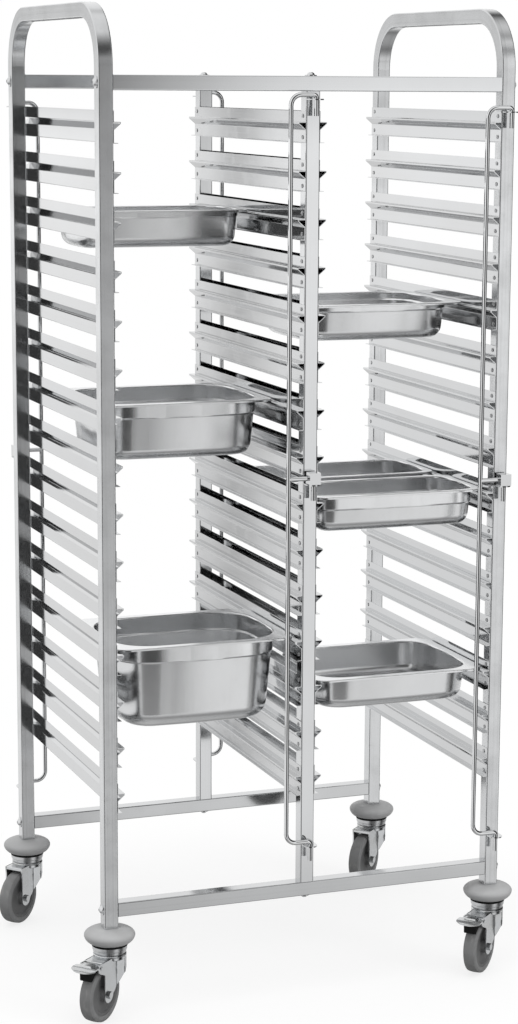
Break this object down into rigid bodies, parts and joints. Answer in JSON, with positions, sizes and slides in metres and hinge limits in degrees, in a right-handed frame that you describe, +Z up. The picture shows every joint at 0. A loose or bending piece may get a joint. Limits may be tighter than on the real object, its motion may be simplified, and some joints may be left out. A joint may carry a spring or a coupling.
{
  "type": "racking trolley",
  "caption": "Tall two-bay stainless steel racking trolley for kitchen pans, with locking bars, bumper discs, swivel casters and removable pans.",
  "frame": {"origin": "on the floor, midway between the four legs", "axes": "+X to the right and +Y to the back, seen from the front; +Z up"},
  "size_m": [0.8383, 0.6637, 1.707],
  "materials": {
    "stainless": "fine brushed",
    "stainless_runner": "rolled, satin",
    "stainless_pan": "deep drawn, satin",
    "bright_rod": "bright drawn",
    "bolt": "bright",
    "zinc": "zinc plated",
    "wheel_rubber": "matt grey",
    "wheel_hub": "matt grey",
    "bumper": "soft grey",
    "black_plastic": "matt black",
    "black_rubber": "matt black"
  },
  "bodies": {
    "frame": {"left_end_frame": "stainless", "right_end_frame": "stainless", "front_top_rail": "stainless", "rear_top_rail": "stainless", "front_bottom_rail": "stainless", "rear_bottom_rail": "stainless", "front_centre_upright": "stainless", "rear_centre_upright": "stainless", "left_end_runners": "stainless_runner", "left_centre_runners": "stainless_runner", "right_centre_runners": "stainless_runner", "right_end_runners": "stainless_runner", "runner_rivets": "stainless_runner", "frame_bolts": "bolt", "frame_washers": "bolt", "tube_plugs": "black_plastic", "top_bar_lugs": "stainless", "middle_bar_lugs": "stainless", "bottom_bar_lugs": "stainless", "bumper_discs": "bumper", "swivel_seals": "black_rubber", "leg_plugs": "black_plastic", "caster_stems": "zinc"},
    "front_left_caster": {"front_left_fork": "zinc", "front_left_axle": "zinc"},
    "front_left_wheel": {"front_left_hub": "wheel_hub", "front_left_tyre": "wheel_rubber"},
    "front_left_brake": {"front_left_pedal": "zinc", "front_left_shoe": "black_rubber"},
    "front_right_caster": {"front_right_fork": "zinc", "front_right_axle": "zinc"},
    "front_right_wheel": {"front_right_hub": "wheel_hub", "front_right_tyre": "wheel_rubber"},
    "front_right_brake": {"front_right_pedal": "zinc", "front_right_shoe": "black_rubber"},
    "rear_left_caster": {"rear_left_fork": "zinc", "rear_left_axle": "zinc"},
    "rear_left_wheel": {"rear_left_hub": "wheel_hub", "rear_left_tyre": "wheel_rubber"},
    "rear_right_caster": {"rear_right_fork": "zinc", "rear_right_axle": "zinc"},
    "rear_right_wheel": {"rear_right_hub": "wheel_hub", "rear_right_tyre": "wheel_rubber"},
    "front_centre_locking_bar": {"front_centre_bar": "bright_rod", "front_centre_block": "stainless"},
    "front_end_locking_bar": {"front_end_bar": "bright_rod", "front_end_block": "stainless"},
    "rear_centre_locking_bar": {"rear_centre_bar": "bright_rod", "rear_centre_block": "stainless"},
    "rear_end_locking_bar": {"rear_end_bar": "bright_rod", "rear_end_block": "stainless"},
    "top_left_pan": {"top_left_pan": "stainless_pan"},
    "middle_left_pan": {"middle_left_pan": "stainless_pan"},
    "low_left_pan": {"low_left_pan": "stainless_pan"},
    "top_right_pan": {"top_right_pan": "stainless_pan"},
    "middle_front_pan": {"middle_front_pan": "stainless_pan"},
    "middle_back_pan": {"middle_back_pan": "stainless_pan"},
    "low_right_pan": {"low_right_pan": "stainless_pan"}
  },
  "joints": [
    {"name": "front_left_swivel", "type": "hinge", "parent": "frame", "child": "front_left_caster", "pos_m": [-0.357, -0.2725, 0.112], "axis": [0, 0, 1], "continuous": true},
    {"name": "front_left_roll", "type": "hinge", "parent": "front_left_caster", "child": "front_left_wheel", "pos_m": [-0.38209, -0.2947, 0.05], "axis": [0.6626, -0.749, 0], "continuous": true},
    {"name": "front_left_brake_press", "type": "hinge", "parent": "front_left_caster", "child": "front_left_brake", "pos_m": [-0.40044, -0.31093, 0.105], "axis": [0.6626, -0.749, 0], "range_deg": [0, 6]},
    {"name": "front_right_swivel", "type": "hinge", "parent": "frame", "child": "front_right_caster", "pos_m": [0.357, -0.2725, 0.112], "axis": [0, 0, 1], "continuous": true},
    {"name": "front_right_roll", "type": "hinge", "parent": "front_right_caster", "child": "front_right_wheel", "pos_m": [0.33191, -0.2947, 0.05], "axis": [0.6626, -0.749, 0], "continuous": true},
    {"name": "front_right_brake_press", "type": "hinge", "parent": "front_right_caster", "child": "front_right_brake", "pos_m": [0.31356, -0.31093, 0.105], "axis": [0.6626, -0.749, 0], "range_deg": [0, 6]},
    {"name": "rear_left_swivel", "type": "hinge", "parent": "frame", "child": "rear_left_caster", "pos_m": [-0.357, 0.2725, 0.112], "axis": [0, 0, 1], "continuous": true},
    {"name": "rear_left_roll", "type": "hinge", "parent": "rear_left_caster", "child": "rear_left_wheel", "pos_m": [-0.38209, 0.2503, 0.05], "axis": [0.6626, -0.749, 0], "continuous": true},
    {"name": "rear_right_swivel", "type": "hinge", "parent": "frame", "child": "rear_right_caster", "pos_m": [0.357, 0.2725, 0.112], "axis": [0, 0, 1], "continuous": true},
    {"name": "rear_right_roll", "type": "hinge", "parent": "rear_right_caster", "child": "rear_right_wheel", "pos_m": [0.33191, 0.2503, 0.05], "axis": [0.6626, -0.749, 0], "continuous": true},
    {"name": "front_centre_bar_swing", "type": "hinge", "parent": "frame", "child": "front_centre_locking_bar", "pos_m": [0, -0.3, 0], "axis": [0, 0, 1], "range_deg": [0, 180]},
    {"name": "front_end_bar_swing", "type": "hinge", "parent": "frame", "child": "front_end_locking_bar", "pos_m": [0.357, -0.3, 0], "axis": [0, 0, 1], "range_deg": [0, 180]},
    {"name": "rear_centre_bar_swing", "type": "hinge", "parent": "frame", "child": "rear_centre_locking_bar", "pos_m": [0, 0.3, 0], "axis": [0, 0, 1], "range_deg": [0, 180]},
    {"name": "rear_end_bar_swing", "type": "hinge", "parent": "frame", "child": "rear_end_locking_bar", "pos_m": [-0.357, 0.3, 0], "axis": [0, 0, 1], "range_deg": [0, 180]},
    {"name": "top_left_slide", "type": "slide", "parent": "frame", "child": "top_left_pan", "axis": [0, 1, 0], "range_m": [-0.2645, 0.1505]},
    {"name": "middle_left_slide", "type": "slide", "parent": "frame", "child": "middle_left_pan", "axis": [0, 1, 0], "range_m": [-0.1355, 0.1905]},
    {"name": "low_left_slide", "type": "slide", "parent": "frame", "child": "low_left_pan", "axis": [0, 1, 0], "range_m": [-0.0275, 0.2985]},
    {"name": "top_right_slide", "type": "slide", "parent": "frame", "child": "top_right_pan", "axis": [0, 1, 0], "range_m": [-0.1295, 0.1965]},
    {"name": "middle_front_slide", "type": "slide", "parent": "frame", "child": "middle_front_pan", "axis": [0, 1, 0], "range_m": [-0.0335, 0]},
    {"name": "middle_back_slide", "type": "slide", "parent": "frame", "child": "middle_back_pan", "axis": [0, 1, 0], "range_m": [0, 0.1725]},
    {"name": "low_right_slide", "type": "slide", "parent": "frame", "child": "low_right_pan", "axis": [0, 1, 0], "range_m": [-0.0185, 0.3075]}
  ]
}
